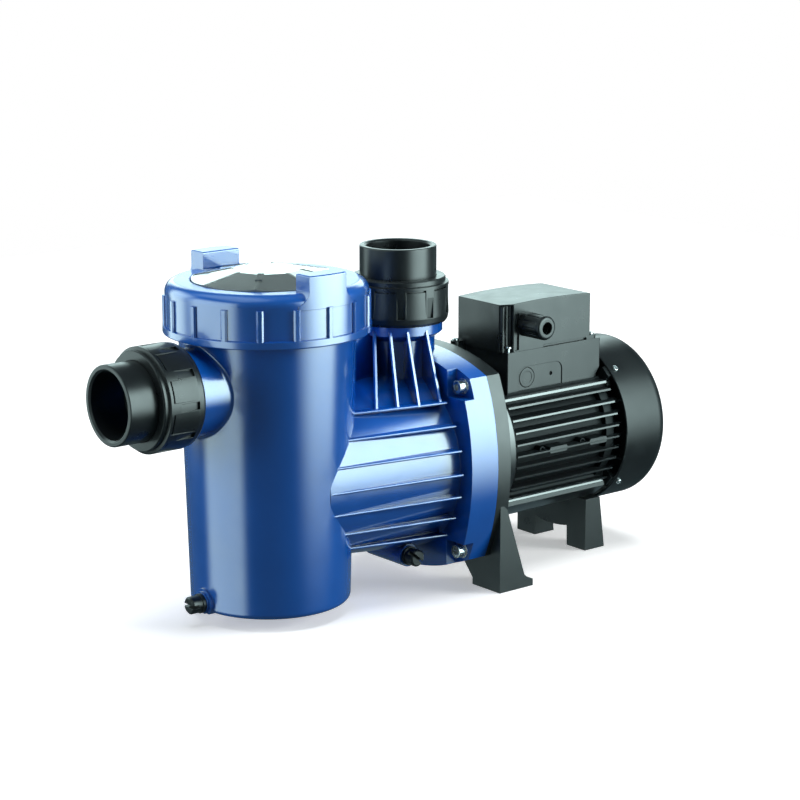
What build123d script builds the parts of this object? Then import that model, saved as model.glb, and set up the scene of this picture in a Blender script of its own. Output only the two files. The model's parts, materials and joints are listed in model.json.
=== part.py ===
from build123d import *
import os
from math import cos, pi, radians, sin

# Pool pump: strainer pot, volute casing and electric motor on one horizontal shaft.
# Millimetres. +X runs along the shaft from the suction mouth to the fan, +Z is up, z = 0 is the floor,
# and the origin is the bottom centre of the whole pump's box.

# ---------------------------------------------------------------- driving dimensions
HALF_LENGTH = 314.2            # suction mouth and fan cover end lie this far each side of the origin
SHAFT_Z = 126.6                # height of the shaft

# pipe unions (solvent sockets for 63 mm pipe)
SPIGOT_R = 37.5
SOCKET_R = 31.5
SOCKET_DEPTH = 38.0
UNION_FACE = 52.2              # mouth to the face of the body nozzle
NUT_R = 49.5
NUT_TOP = 30.0                 # mouth to the front of the nut
NUT_LENGTH = 44.0
THREAD_R = 44.8
WATERWAY_R = 29.5
NUT_GRIPS = 10

# strainer pot
POT_X = -136.7
POT_BOTTOM = 12.2
POT_R = 76.5
POT_TAPER = 0.027
POT_WALL = 5.0
COLLAR_TOP = 306.0
COLLAR_R = 88.7
SUCTION_Z = 225.8
NOZZLE_R = 41.5

# lid and its ring nut
RING_BOTTOM = 273.4
RING_LIP_TOP = 280.4
RING_TOP = 322.0
RING_LIP_R = 98.0
RING_R = 95.4
RING_BORE_R = 89.0
RING_EYE_R = 71.0
LUG_TOP = 338.8
LID_TOP = 331.0
BASKET_R = 73.0
BASKET_RIM = 292.0

# volute casing
CASE_START = -124.0
CASE_START_R = 79.0
FLANGE_FRONT = 23.6
CASE_END_R = 92.0
RIB_END_R = 103.0
RIB_THICK = 2.8
BLADE_THICK = 2.4
PART_LINE = -47.5              # the pot section ends and the casing section starts here
CHAMBER_R = 79.0
PLATE_BORE_R = 81.0
DISCHARGE_X = 20.8
DISCHARGE_TOP = 337.7
NECK_R = 36.0
COLLAR_NECK_R = 43.5
FLANGE_REAR = 56.9
FLANGE_SIDE = 109.1            # half width at the middle of a side
FLANGE_CORNER = 90.35          # half width at the corners
NOTCH = 71.5                   # the corner notches start this far from the shaft
NOTCH_DEPTH = 12.0
BOLT_PLACE = 82.0
EYE_WALL_FRONT = -62.0
EYE_WALL_REAR = -54.0
EYE_HOLE_R = 28.0
SEAL_PLATE_FRONT = 42.0

# drains
POT_DRAIN_Z = 21.6
POT_DRAIN_BORE = 6.5
POT_DRAIN_FACE = -217.6
CASE_DRAIN_X = -4.0
CASE_DRAIN_Z = 38.4
CASE_DRAIN_FACE = -47.0

# impeller, shaft seal and bearings
IMPELLER_R = 58.0
IMPELLER_REAR = 9.0
WEAR_BORE_R = 25.0
SHAFT_NOSE_R = 7.0
SHAFT_SEAL_R = 8.0
SEAL_FACE = 36.0
FRONT_BEARING = (84.0, 98.0)
REAR_BEARING = (238.0, 250.0)
FRONT_BORE = 10.0
FRONT_OUTER = 23.5
REAR_BORE = 8.5
REAR_OUTER = 20.0
FAN_BORE = 7.0
FAN_R = 74.0
SHAFT_TAIL = 286.0
TIE_R = 2.5

# support bracket and foot
BRACKET_REAR = 73.2
LEG_FRONT = 63.2
LEG_OUT = 105.8
LEG_IN = 64.9
TOE_REAR = 107.0
TOE_THICK = 7.0
FOOT_HOLE_R = 4.5
FOOT_HOLE_X = 87.0
REAR_FOOT_FRONT = 228.8
REAR_FOOT_BACK = 256.0

# motor
FRAME_FRONT = 95.0
FRAME_REAR = 250.0
CORE_R = 66.0
STATOR_R = 62.0
FIN_FRONT = 114.5
FIN_REAR = 248.0
FIN_R = 80.0
FIN_THICK = 1.8
LEDGE_HALF = 59.0
SOLE_R = 82.5
STACK_FRONT = 126.0
STACK_REAR = 216.0
ROTOR_R = 38.0
AIR_GAP = 0.5
COVER_FRONT = 254.2
COVER_R = 85.2
COVER_WALL = 2.0
COVER_ROUND = 13.0
RUNNING = 0.05                 # radial clearance of running fits

# terminal box
BOX_NEAR = -48.5
BOX_FAR = 24.5
BASE_FRONT = 121.6
BASE_REAR = 249.0
BASE_BOTTOM = 182.5
BASE_TOP = 223.2
COVER_BOTTOM = BASE_TOP + 0.05
LID_BOX_FRONT = 118.0
LID_BOX_REAR = 233.5
LID_BOX_TOP = 273.2
CORNER_FRONT = (118.0, -39.0)  # the cut corner of the cover runs between these two points
CORNER_NEAR = (129.8, -48.5)
GLAND_X = 147.0
GLAND_Z = 250.0
GLAND_OUT = 30.0
KNOCKOUT_X = 148.5
KNOCKOUT_Z = 195.0


# ---------------------------------------------------------------- shape helpers
def rod_x(r, x0, x1, y=0.0, z=SHAFT_Z):
    return Pos((x0 + x1) / 2, y, z) * Rot(0, 90, 0) * Cylinder(r, x1 - x0)


def rod_y(r, y0, y1, x, z):
    return Pos(x, (y0 + y1) / 2, z) * Rot(90, 0, 0) * Cylinder(r, y1 - y0)


def rod_z(r, z0, z1, x=0.0, y=0.0):
    return Pos(x, y, (z0 + z1) / 2) * Cylinder(r, z1 - z0)


def block(x0, x1, y0, y1, z0, z1):
    return Pos((x0 + x1) / 2, (y0 + y1) / 2, (z0 + z1) / 2) * Box(x1 - x0, y1 - y0, z1 - z0)


def spin_z(outline, x=0.0, y=0.0, angle=360.0):
    """Turn an outline of (radius, height) points about a vertical axis."""
    face = make_face(Polyline(*[(r, 0, z) for r, z in outline], close=True))
    return Pos(x, y, 0) * revolve(face, Axis.Z, angle)


def spin_x(outline):
    """Turn an outline of (x, radius) points about the shaft."""
    face = make_face(Polyline(*[(x, 0, r) for x, r in outline], close=True))
    return Pos(0, 0, SHAFT_Z) * revolve(face, Axis.X)


def prism_x(outline, x0, x1):
    """Extrude a (y, z) outline from x0 to x1."""
    face = make_face(Polyline(*[(x0, y, z) for y, z in outline], close=True))
    return extrude(face, x1 - x0, (1, 0, 0))


def prism_y(outline, y0, y1):
    """Extrude an (x, z) outline from y0 to y1."""
    face = make_face(Polyline(*[(x, y0, z) for x, z in outline], close=True))
    return extrude(face, y1 - y0, (0, 1, 0))


def prism_z(outline, z0, z1):
    """Extrude an (x, y) outline from z0 to z1."""
    face = make_face(Polyline(*[(x, y, z0) for x, y in outline], close=True))
    return extrude(face, z1 - z0, (0, 0, 1))


def socket_screw(head_r, head_l, shank_r, shank_l, key_r):
    """A socket-head screw along +X: its head ends and its shank starts at x = 0."""
    head = fillet(rod_x(head_r, -head_l, 0, 0, 0).edges().sort_by(Axis.X)[0], head_r * 0.12)
    key = Pos(-head_l, 0, 0) * Rot(0, 90, 0) * extrude(RegularPolygon(key_r, 6), head_l * 0.55)
    return head + rod_x(shank_r, -0.01, shank_l, 0, 0) - key


def bearing(bore, outer, x0, x1, balls, ball_r):
    """Inner race, outer race and balls of a ball bearing; the balls turn with the inner race."""
    middle = (bore + outer) / 2
    mean_x = (x0 + x1) / 2
    groove = Pos(mean_x, 0, SHAFT_Z) * Rot(0, 90, 0) * Torus(middle, ball_r + RUNNING)
    inner = rod_x(middle - ball_r * 0.45, x0, x1) - rod_x(bore, x0 - 1, x1 + 1) - groove
    outer_race = rod_x(outer, x0, x1) - rod_x(middle + ball_r * 0.45, x0 - 1, x1 + 1) - groove
    spheres = []
    for i in range(balls):
        angle = 2 * pi * i / balls
        spheres.append(Pos(mean_x, middle * sin(angle), SHAFT_Z + middle * cos(angle)) * Sphere(ball_r))
    return inner, outer_race, spheres


# ---------------------------------------------------------------- pipe unions
# Each is made with its mouth at z = 0 and its body below, then turned into place.
def union_tailpiece():
    flange_top = UNION_FACE - 7.0
    outline = [(SOCKET_R, 0), (SPIGOT_R, 0), (SPIGOT_R, -flange_top), (43.2, -flange_top),
               (43.2, -UNION_FACE), (WATERWAY_R, -UNION_FACE), (WATERWAY_R, -SOCKET_DEPTH),
               (SOCKET_R, -SOCKET_DEPTH)]
    body = spin_z(outline)
    mouth = body.edges().filter_by(GeomType.CIRCLE).group_by(Axis.Z)[-1].sort_by(SortBy.RADIUS)
    body = chamfer(mouth[0], 1.9)
    rim = body.edges().filter_by(GeomType.CIRCLE).group_by(Axis.Z)[-1].sort_by(SortBy.RADIUS)
    body = fillet(rim[-1], 1.2)
    groove = Pos(0, 0, -UNION_FACE) * (Cylinder(38.6, 5.2) - Cylinder(34.4, 6))
    return body - groove


def union_oring():
    return Pos(0, 0, -UNION_FACE + 1.3) * Torus(36.5, 1.25)


def union_nut():
    top = -NUT_TOP
    bottom = -(NUT_TOP + NUT_LENGTH)
    outline = [(SPIGOT_R + 0.4, top), (45.6, top), (46.4, top - 1.2), (46.4, top - 5.0), (NUT_R, top - 5.6),
               (NUT_R, bottom + 7.5), (48.6, bottom + 2.6), (46.8, bottom), (THREAD_R + 0.3, bottom),
               (THREAD_R + 0.3, -UNION_FACE + 7.3), (SPIGOT_R + 0.4, -UNION_FACE + 7.3)]
    nut = spin_z(outline)
    pitch = 360 / NUT_GRIPS
    # each grip is a wide pad behind a deep slot, and a narrow one that ends in a step at the rear
    wide = Rot(0, 0, -12) * spin_z([(46.8, top - 8.5), (NUT_R + 1, top - 8.5), (NUT_R + 1, bottom + 9),
                                    (NUT_R, bottom + 9), (48.6, top - 10.4), (46.8, top - 10.4)], angle=24)
    narrow = Rot(0, 0, pitch / 2 - 4.2) * spin_z([(NUT_R, top - 16), (NUT_R + 1, top - 16),
                                                  (NUT_R + 1, bottom + 8), (47.2, bottom + 8)], angle=8.4)
    cuts = []
    for i in range(NUT_GRIPS):
        cuts.append(Rot(0, 0, i * pitch) * wide)
        cuts.append(Rot(0, 0, i * pitch) * narrow)
    return nut - cuts


def on_suction(shape):
    return Pos(-HALF_LENGTH, 0, SUCTION_Z) * Rot(0, -90, 0) * shape


def on_discharge(shape):
    return Pos(DISCHARGE_X, 0, DISCHARGE_TOP) * shape


# ---------------------------------------------------------------- pump body
def flange_outline(x0, x1, grow=0.0):
    """The square with four arched sides that the casing flange and the bracket share."""
    side = FLANGE_SIDE + grow
    corner = FLANGE_CORNER + grow
    corners = [(-corner, -corner), (corner, -corner), (corner, corner), (-corner, corner)]
    middles = [(0, -side), (side, 0), (0, side), (-side, 0)]
    edges = []
    for i in range(4):
        a = corners[i]
        b = corners[(i + 1) % 4]
        m = middles[i]
        edges.append(ThreePointArc((x0, a[0], SHAFT_Z + a[1]), (x0, m[0], SHAFT_Z + m[1]),
                                   (x0, b[0], SHAFT_Z + b[1])))
    return extrude(make_face(edges), x1 - x0, (1, 0, 0))


def flange_corners():
    return [(sy * BOLT_PLACE, SHAFT_Z + sz * BOLT_PLACE) for sy in (-1, 1) for sz in (-1, 1)]


def pot_radius(z):
    return POT_R + POT_TAPER * (z - POT_BOTTOM)


def pot_shell():
    top = RING_BOTTOM + 2
    shell = spin_z([(0, POT_BOTTOM), (POT_R, POT_BOTTOM), (pot_radius(top), top), (0, top)], POT_X)
    shell = fillet(shell.edges().sort_by(Axis.Z)[0], 5)
    return shell + rod_z(COLLAR_R, RING_BOTTOM - 1.2, COLLAR_TOP, POT_X)


def rib_envelope():
    return spin_x([(CASE_START, 0), (CASE_START, CASE_START_R), (FLANGE_FRONT, RIB_END_R), (FLANGE_FRONT, 0)])


def casing_ribs():
    """Horizontal ribs along the casing."""
    slabs = []
    for height in (66.5, 46, 23, 0, -22.5, -45, -65):
        z = SHAFT_Z + height
        slabs.append(block(CASE_START, FLANGE_FRONT - 5, -110, 110, z - RIB_THICK / 2, z + RIB_THICK / 2))
    ribs = []
    for slab in slabs:
        rib = rib_envelope() & slab
        noses = rib.edges().filter_by(lambda e: abs(e.center().Y) > 30 and e.bounding_box().size.X > 100)
        ribs.append(fillet(noses, RIB_THICK * 0.46))
    return ribs


def neck_blades():
    """Upright blades that fan out from the discharge neck to the top rib."""
    collar_z = 259.0
    ledge_z = SHAFT_Z + 66.0
    blades = []
    for top, foot in (((20.8, -43.0), (13.8, -73.5)), ((0.9, -39.0), (-10.4, -70.5)),
                      ((-11.8, -28.5), (-32.0, -65.0)), ((-20.0, -14.5), (-53.0, -58.5))):
        run = Vector(foot[0] - top[0], foot[1] - top[1], 0)
        length = run.length
        plane = Plane(origin=(top[0], top[1], 0), x_dir=run.normalized(), z_dir=run.normalized().cross(
            Vector(0, 0, 1)))
        outline = [(-24, collar_z), (0, collar_z), (length, ledge_z), (length - 12, ledge_z - 2),
                   (-24, ledge_z - 12)]
        face = make_face(Polyline(*[plane.from_local_coords((u, v, 0)) for u, v in outline], close=True))
        blade = extrude(face, BLADE_THICK / 2, plane.z_dir, both=True)
        slope = blade.edges().filter_by(lambda e: abs(e.bounding_box().size.Z - (collar_z - ledge_z)) < 0.5)
        blade = fillet(slope, BLADE_THICK * 0.46)
        blades.append(blade)
        blades.append(blade.mirror(Plane.XZ))
    return blades


def pump_body():
    """The pot section and the casing section, which meet at a plane across the shaft."""
    case = spin_x([(CASE_START, 0), (CASE_START, CASE_START_R), (FLANGE_FRONT, CASE_END_R),
                   (FLANGE_FRONT, 0)])
    nozzle_end = -HALF_LENGTH + UNION_FACE
    nozzle = rod_x(NOZZLE_R, nozzle_end, POT_X, 0, SUCTION_Z)
    pot = pot_shell() + nozzle
    joint_edges = pot.edges().filter_by(lambda e: e.bounding_box().min.X > -235 and
                                        e.bounding_box().max.X < -205 and e.center().Z > 150 and
                                        e.bounding_box().size.Z > 60)
    pot = fillet(joint_edges, 4)
    nozzle_thread = rod_x(THREAD_R, nozzle_end, nozzle_end + 17, 0, SUCTION_Z)
    nozzle_thread = chamfer(nozzle_thread.edges().sort_by(Axis.X)[0], 1)
    neck_end = DISCHARGE_TOP - UNION_FACE
    neck = rod_z(NECK_R, SHAFT_Z, neck_end, DISCHARGE_X)
    neck_collar = spin_z([(0, 248), (NECK_R, 248), (COLLAR_NECK_R, 254), (COLLAR_NECK_R, 263), (0, 263)],
                         DISCHARGE_X)
    neck_thread = chamfer(rod_z(THREAD_R, neck_end - 17, neck_end, DISCHARGE_X).edges().sort_by(Axis.Z)[-1], 1)
    flange = flange_outline(FLANGE_FRONT, FLANGE_REAR)
    notches = []
    for sy in (-1, 1):
        for sz in (-1, 1):
            y0, y1 = sorted((sy * NOTCH, sy * 130))
            z0, z1 = sorted((sz * NOTCH, sz * 130))
            notches.append(block(FLANGE_FRONT - 1, FLANGE_FRONT + NOTCH_DEPTH, y0, y1, SHAFT_Z + z0,
                                 SHAFT_Z + z1))
    flange = flange - notches
    body = pot + case + flange
    body = body + nozzle_thread + neck + neck_collar + neck_thread
    gusset = block(POT_X + 70, DISCHARGE_X, -9, 9, SHAFT_Z + 60, 256)
    body = body + casing_ribs() + neck_blades() + gusset
    body = body + pot_drain_boss() + casing_drain_boss()
    pot_floor = POT_BOTTOM + 6
    cavity = spin_z([(0, pot_floor), (POT_R - POT_WALL, pot_floor), (pot_radius(COLLAR_TOP) - POT_WALL,
                                                                     COLLAR_TOP + 1), (0, COLLAR_TOP + 1)],
                    POT_X)
    cuts = [
        cavity,
        rod_x(WATERWAY_R, nozzle_end - 1, POT_X, 0, SUCTION_Z),
        rod_x(75.5, POT_X, EYE_WALL_FRONT),
        rod_x(EYE_HOLE_R, EYE_WALL_FRONT - 1, EYE_WALL_REAR + 1),
        rod_x(CHAMBER_R, EYE_WALL_REAR, SEAL_PLATE_FRONT),
        rod_x(PLATE_BORE_R, SEAL_PLATE_FRONT, FLANGE_REAR + 1),
        rod_z(WATERWAY_R, SHAFT_Z + 40, neck_end + 1, DISCHARGE_X),
        rod_x(POT_DRAIN_BORE, POT_X - 90, POT_X - 60, 0, POT_DRAIN_Z),
        rod_y(POT_DRAIN_BORE, CASE_DRAIN_FACE - 1, -14, CASE_DRAIN_X, CASE_DRAIN_Z),
        rod_z(4, CASE_DRAIN_Z, SHAFT_Z - 70, CASE_DRAIN_X, -20),
    ]
    for y, z in flange_corners():
        cuts.append(rod_x(4.2, FLANGE_FRONT, FLANGE_REAR + 1, y, z))
    body = body - cuts
    return body & block(-400, PART_LINE, -200, 200, 0, 400), body & block(PART_LINE, 100, -200, 200, 0, 400)


def pot_drain_boss():
    outer = rod_x(13.5, POT_DRAIN_FACE + 1.8, POT_X - 60, 0, POT_DRAIN_Z)
    inner = rod_x(10.8, POT_DRAIN_FACE, POT_X - 60, 0, POT_DRAIN_Z)
    below = block(-260, POT_X, -40, 40, -20, POT_BOTTOM)
    return outer + inner - below


def casing_drain_boss():
    boss = rod_y(11.3, CASE_DRAIN_FACE, 16, CASE_DRAIN_X, CASE_DRAIN_Z)
    return fillet(boss.edges().sort_by(Axis.Y)[-1], 8)


def drain_plug():
    """A slotted drain plug along +X with its seat at x = 0, its knob at -X and its stem at +X."""
    washer = rod_x(9.4, -3.2, -0.05, 0, 0)
    knob = rod_x(8.4, -14.5, -3.2, 0, 0)
    knob = chamfer(knob.edges().sort_by(Axis.X)[0], 1.6)
    stem = rod_x(POT_DRAIN_BORE - RUNNING, -0.1, 9.5, 0, 0)
    slot = block(-15, -7.5, -12, 12, -1.5, 1.5)
    groove = rod_x(20, -1.9, 0.4, 0, 0) - rod_x(6.9, -3, 1, 0, 0)
    return washer + knob + stem - slot - (groove & rod_x(8.9, -2.2, 0.2, 0, 0))


def drain_oring():
    return Pos(-0.98, 0, 0) * Rot(0, 90, 0) * Torus(7.9, 0.9)


def on_pot_drain(shape):
    return Pos(POT_DRAIN_FACE, 0, POT_DRAIN_Z) * shape


def on_casing_drain(shape):
    return Pos(CASE_DRAIN_X, CASE_DRAIN_FACE, CASE_DRAIN_Z) * Rot(0, 0, 90) * Rot(40, 0, 0) * shape


# ---------------------------------------------------------------- lid, ring nut and strainer
def lid_ring():
    outline = [(RING_BORE_R, RING_BOTTOM), (RING_LIP_R, RING_BOTTOM), (RING_LIP_R, RING_LIP_TOP),
               (RING_R, RING_LIP_TOP + 0.6), (RING_R, RING_TOP), (RING_EYE_R, RING_TOP),
               (RING_EYE_R, RING_TOP - 6.5), (RING_BORE_R, RING_TOP - 6.5)]
    ring = spin_z(outline)
    rims = ring.edges().filter_by(GeomType.CIRCLE).group_by(Axis.Z)
    ring = fillet(rims[-1].sort_by(SortBy.RADIUS)[-1], 10.5)
    ring = fillet(ring.edges().filter_by(GeomType.CIRCLE).group_by(Axis.Z)[-1].sort_by(SortBy.RADIUS)[0], 1.5)
    ring = fillet(ring.edges().filter_by(GeomType.CIRCLE).group_by(Axis.Z)[0].sort_by(SortBy.RADIUS)[-1], 1.2)
    rib = block(RING_R - 4, RING_LIP_R - 0.2, -3.2, 3.2, RING_LIP_TOP - 2, 309.0)
    rib = chamfer(rib.edges().filter_by(Axis.Z).group_by(Axis.X)[-1], 1.4)
    ribs = [Rot(0, 0, 10 + 20 * i) * rib for i in range(18)]
    return Pos(POT_X, 0, 0) * (ring + ribs + [ring_lug(1), ring_lug(-1)])


def ring_lug(side):
    """A grip lug: an upright tab that flares into the shoulder of the ring."""
    half = 21.0
    flare = 31.0
    low = 308.0
    neck = 327.0
    outline = [Line((-half, 0, LUG_TOP), (half, 0, LUG_TOP)), Line((half, 0, LUG_TOP), (half, 0, neck)),
               ThreePointArc((half, 0, neck), (half + 2.6, 0, neck - 9.5), (flare, 0, low + 4)),
               Line((flare, 0, low + 4), (flare, 0, low)), Line((flare, 0, low), (-flare, 0, low)),
               Line((-flare, 0, low), (-flare, 0, low + 4)),
               ThreePointArc((-flare, 0, low + 4), (-half - 2.6, 0, neck - 9.5), (-half, 0, neck)),
               Line((-half, 0, neck), (-half, 0, LUG_TOP))]
    tab = Pos(0, 73.5, 0) * extrude(make_face(outline), 40, (0, 1, 0))
    tab = tab & rod_z(RING_R + 0.4, 290, 350)
    tab = tab - rod_z(RING_BORE_R, 290, RING_TOP - 6.5)
    tab = fillet(tab.edges().group_by(Axis.Z)[-1], 1.6)
    return tab if side > 0 else Rot(0, 0, 180) * tab


def lid():
    flange_r = 87.6
    outline = [(66.3, 306.4), (flange_r, 306.4), (flange_r, RING_TOP - 6.8), (70.4, RING_TOP - 6.8),
               (70.4, RING_TOP + 3), (31.5, LID_TOP + 3), (0, LID_TOP + 3), (0, LID_TOP - 4),
               (29, LID_TOP - 4), (66.3, RING_TOP - 4.4)]
    shell = spin_z(outline)
    # eight flat panels fall from a flat octagon to the rim
    low_face = Pos(0, 0, RING_TOP) * RegularPolygon(72 / cos(pi / 8), 8, rotation=0)
    top_face = Pos(0, 0, LID_TOP) * RegularPolygon(31 / cos(pi / 8), 8, rotation=0)
    crown = loft([low_face, top_face]) + rod_z(90, 300, RING_TOP + 0.01)
    shell = shell & crown
    # the spokes follow the corners between the panels
    slope = (LID_TOP - RING_TOP) / 41 * cos(pi / 8)
    inner = 31 / cos(pi / 8)
    spoke = prism_y([(31, LID_TOP - 2), (31, LID_TOP + 0.5), (inner, LID_TOP + 0.5),
                     (69.8, LID_TOP - slope * (69.8 - inner) + 0.5), (69.8, RING_TOP - 2)], -1.0, 1.0)
    spokes = [Rot(0, 0, 45 * i) * spoke for i in range(8)]
    bar = prism_y([(inner, LID_TOP - 2), (inner, LID_TOP + 1.5), (49, LID_TOP - slope * (49 - inner) + 1.5),
                   (49, LID_TOP - slope * (49 - inner) - 1.5)], -3.2, 3.2)
    groove = Pos(0, 0, 306.4) * (Cylinder(85.6, 7.2) - Cylinder(81.4, 8))
    return Pos(POT_X, 0, 0) * (shell + spokes + [Rot(0, 0, -135) * bar] - groove)


def lid_oring():
    return Pos(POT_X, 0, 308.0) * Torus(83.5, 1.9)


def strainer_basket():
    floor_z = POT_BOTTOM + 6.05
    rim_z = BASKET_RIM
    low_r = 60.0
    top_r = BASKET_R
    wall = 2.2
    shell = spin_z([(0, floor_z), (low_r, floor_z), (top_r, rim_z - 4), (top_r + 3, rim_z - 3),
                    (top_r + 3, rim_z), (top_r - wall, rim_z), (low_r - wall, floor_z + 3),
                    (0, floor_z + 3)])
    rows = 6
    columns = 28
    slot_height = 28.0
    pitch = (rim_z - floor_z - 26) / rows
    slots = []
    for row in range(rows):
        z = floor_z + 14 + row * pitch
        for column in range(columns // 2):
            slots.append(Rot(0, 0, 360 * (column + 0.5) / columns) * block(-90, 90, -2, 2, z, z + slot_height))
    floor_holes = []
    for ring, count in ((18, 8), (34, 14), (49, 20)):
        for i in range(count):
            angle = 2 * pi * i / count
            floor_holes.append(rod_z(3, floor_z - 1, floor_z + 4, ring * cos(angle), ring * sin(angle)))
    window = rod_x(WATERWAY_R + 1.5, -90, -50, 0, SUCTION_Z)
    core = rod_z(low_r - 8, floor_z + 8, rim_z - 8)
    basket = shell - [slot - core for slot in slots]
    basket = basket - floor_holes - window
    return Compound([Pos(POT_X, 0, 0) * basket, basket_handle()])


def basket_handle():
    """The bail that stands on the basket's rim."""
    foot_z = BASKET_RIM + 0.02
    reach = BASKET_R + 1.5
    bail = prism_x([(-reach, foot_z), (-reach, foot_z + 2.5), (-46, foot_z + 19), (46, foot_z + 19),
                    (reach, foot_z + 2.5), (reach, foot_z), (reach - 3.5, foot_z), (44.5, foot_z + 16),
                    (-44.5, foot_z + 16), (3.5 - reach, foot_z)], -5, 5)
    return Pos(POT_X, 0, 0) * bail


# ---------------------------------------------------------------- wet end
def diffuser():
    tube_front = EYE_WALL_FRONT + 2
    outline = [(tube_front, 24), (tube_front, EYE_HOLE_R - 0.05), (-32, EYE_HOLE_R - 0.05), (-32, 31),
               (-22, 31), (-22, 74), (-17.5, 74), (-17.5, 27), (-30, 27), (-30, 24)]
    disc = spin_x(outline)
    vane = block(-18, 12, 61, 73, -1.3, 1.3)
    vanes = []
    for i in range(9):
        vanes.append(Pos(0, 0, SHAFT_Z) * Rot(40 * i, 0, 0) * Pos(0, 67, 0) * Rot(38, 0, 0) * Pos(0, -67, 0)
                     * vane)
    back = spin_x([(11, 60.5), (11, 74), (14, 74), (14, 60.5)])
    return disc + vanes + back


def wear_ring():
    return rod_x(27, -29.5, -19) - rod_x(WEAR_BORE_R, -30, -18)


def impeller():
    shroud = spin_x([(-27, 21.5), (-27, WEAR_BORE_R - RUNNING), (-14.5, WEAR_BORE_R - RUNNING), (-11.5, 30),
                     (-9.5, IMPELLER_R), (-6.8, IMPELLER_R), (-8.8, 29), (-12.5, 21.5)])
    back = spin_x([(5.5, SHAFT_NOSE_R), (5.5, IMPELLER_R), (IMPELLER_REAR, IMPELLER_R),
                   (IMPELLER_REAR, 16), (14, 16), (14, SHAFT_NOSE_R)])
    hub = rod_x(14, -9.5, 6) - rod_x(SHAFT_NOSE_R, -11, 8)
    vane_face = make_face([ThreePointArc((-8.2, 13, 0), (-8.2, 38, 13), (-8.2, 57, -6)),
                           Line((-8.2, 57, -6), (-8.2, 57.2, -3.4)),
                           ThreePointArc((-8.2, 57.2, -3.4), (-8.2, 38, 15.6), (-8.2, 12, 2.6)),
                           Line((-8.2, 12, 2.6), (-8.2, 13, 0))])
    vane = extrude(vane_face, 14, (1, 0, 0))
    vanes = [Pos(0, 0, SHAFT_Z) * Rot(60 * i, 0, 0) * vane for i in range(6)]
    return shroud + back + hub + vanes


def impeller_nut():
    hexagon = Pos(-17, 0, SHAFT_Z) * Rot(0, 90, 0) * extrude(RegularPolygon(8.5, 6), 6.95)
    dome = rod_x(6.6, -21, -16)
    dome = fillet(dome.edges().sort_by(Axis.X)[0], 3)
    return hexagon + dome - rod_x(5, -19.7, -9)


def seal_parts():
    head = rod_x(14, 26, SEAL_FACE - RUNNING) - rod_x(SHAFT_SEAL_R, 20, 40)
    head = head - (rod_x(15, 29, 32) - rod_x(12.5, 28, 33))
    seat = rod_x(15.5, SEAL_FACE, 44) - rod_x(9, 30, 50)
    helix = Helix(pitch=3.6, height=9.0, radius=11.6)
    wire = sweep((helix ^ 0) * Circle(1.0), path=helix)
    spring = Pos(15.4, 0, SHAFT_Z) * Rot(0, 90, 0) * wire
    return head, seat, spring


def seal_plate():
    outline = [(SEAL_PLATE_FRONT, 19), (SEAL_PLATE_FRONT, 80.8), (FLANGE_REAR, 80.8), (FLANGE_REAR, 28.9),
               (66, 28.9), (66, 9), (44, 9), (44, 15.5), (SEAL_FACE + 0.5, 15.5), (SEAL_FACE + 0.5, 19)]
    plate = spin_x(outline)
    groove = rod_x(90, 48, 52) - rod_x(77.4, 47, 53)
    pocket = spin_x([(50, 34), (50, 70), (FLANGE_REAR + 1, 70), (FLANGE_REAR + 1, 34)])
    webs = [Pos(0, 0, SHAFT_Z) * Rot(45 * i, 0, 0) * block(48, FLANGE_REAR + 2, 30, 75, -1.8, 1.8)
            for i in range(8)]
    return plate - (groove & rod_x(82, 48, 52)) - (pocket - webs)


def casing_oring():
    return Pos(50, 0, SHAFT_Z) * Rot(0, 90, 0) * Torus(79.2, 1.75)


# ---------------------------------------------------------------- bracket and fasteners
def motor_bracket():
    plate = flange_outline(FLANGE_REAR, BRACKET_REAR)
    front_wall = [(-LEG_OUT, 0), (-LEG_IN, 0), (-LEG_IN, TOE_THICK), (-52.7, 20.8), (-52.7, 92), (-LEG_OUT, 92)]
    web = [(LEG_FRONT, 0), (TOE_REAR, 0), (TOE_REAR, TOE_THICK), (100.5, TOE_THICK + 2), (95.6, 13.5),
           (72.2, 84), (LEG_FRONT, 92)]
    wall = 5.0
    legs = [prism_x(front_wall, LEG_FRONT, LEG_FRONT + wall),
            prism_y(web, -LEG_OUT, -LEG_OUT + wall),
            prism_y(web, -LEG_IN - wall, -LEG_IN),
            block(LEG_FRONT, TOE_REAR, -LEG_OUT, -LEG_IN, 0, TOE_THICK)]
    leg = legs[0] + legs[1:]
    bracket = plate + leg + leg.mirror(Plane.XZ)
    cuts = [rod_x(29, FLANGE_REAR - 1, BRACKET_REAR + 1)]
    for y, z in flange_corners():
        cuts.append(rod_x(4.05, FLANGE_REAR - 1, BRACKET_REAR - 2, y, z))
    for sy in (-1, 1):
        cuts.append(rod_z(FOOT_HOLE_R, -1, TOE_THICK + 1, FOOT_HOLE_X, sy * (LEG_OUT + LEG_IN) / 2))
    for y, z in shield_screws():
        cuts.append(rod_x(3.1, FLANGE_REAR - 1, BRACKET_REAR + 1, y, z))
        cuts.append(rod_x(5.6, FLANGE_REAR - 1, FLANGE_REAR + 8, y, z))
    lightening = spin_x([(61, 34), (61, 47), (BRACKET_REAR + 1, 47), (BRACKET_REAR + 1, 34)])
    webs = [Pos(0, 0, SHAFT_Z) * Rot(60 * i, 0, 0) * block(60, BRACKET_REAR + 2, 30, 50, -2, 2)
            for i in range(6)]
    return bracket - cuts - (lightening - webs)


def shield_screws():
    places = []
    for i in range(4):
        angle = radians(45 + 90 * i)
        places.append((58 * cos(angle), SHAFT_Z + 58 * sin(angle)))
    return places


def flange_bolts():
    bolt = socket_screw(6.6, 8, 4, 34, 3.5)
    x = FLANGE_FRONT + NOTCH_DEPTH - 1.6
    return Compound([Pos(x, y, z) * bolt for y, z in flange_corners()])


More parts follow.
